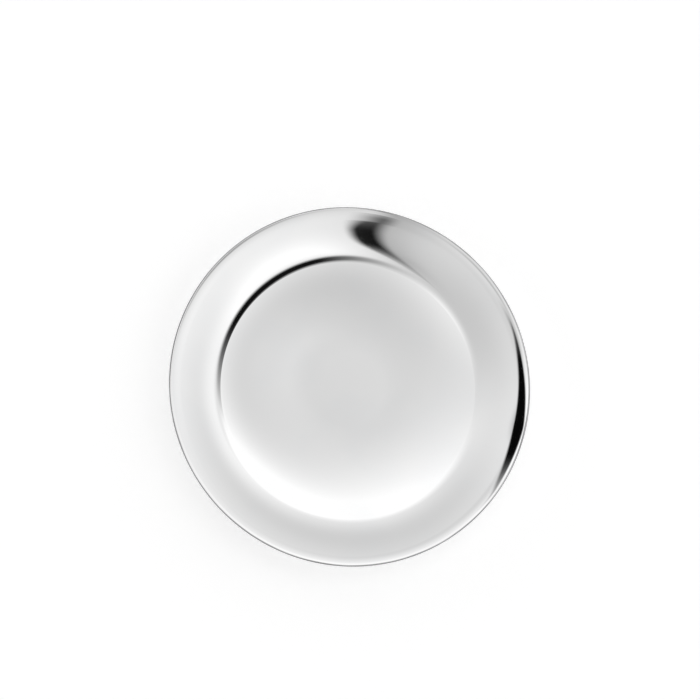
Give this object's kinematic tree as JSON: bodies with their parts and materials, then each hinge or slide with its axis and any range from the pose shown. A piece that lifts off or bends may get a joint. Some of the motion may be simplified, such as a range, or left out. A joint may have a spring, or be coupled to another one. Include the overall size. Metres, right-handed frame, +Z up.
{
  "type": "side plate",
  "caption": "Round side plate of mirror-polished steel sheet with a shallow dished well, a tight bend round the well and a wide rim that turns up at its edge.",
  "frame": {"origin": "middle of the standing face, on the surface that the plate stands on", "axes": "+Z up along the plate's axis; the plate is round, so X and Y are any two square directions across it"},
  "size_m": [0.18, 0.18, 0.0143],
  "materials": {
    "polished_steel": "mirror-polished stainless steel"
  },
  "bodies": {
    "root": {"pressed_plate": "polished_steel"}
  },
  "joints": []
}
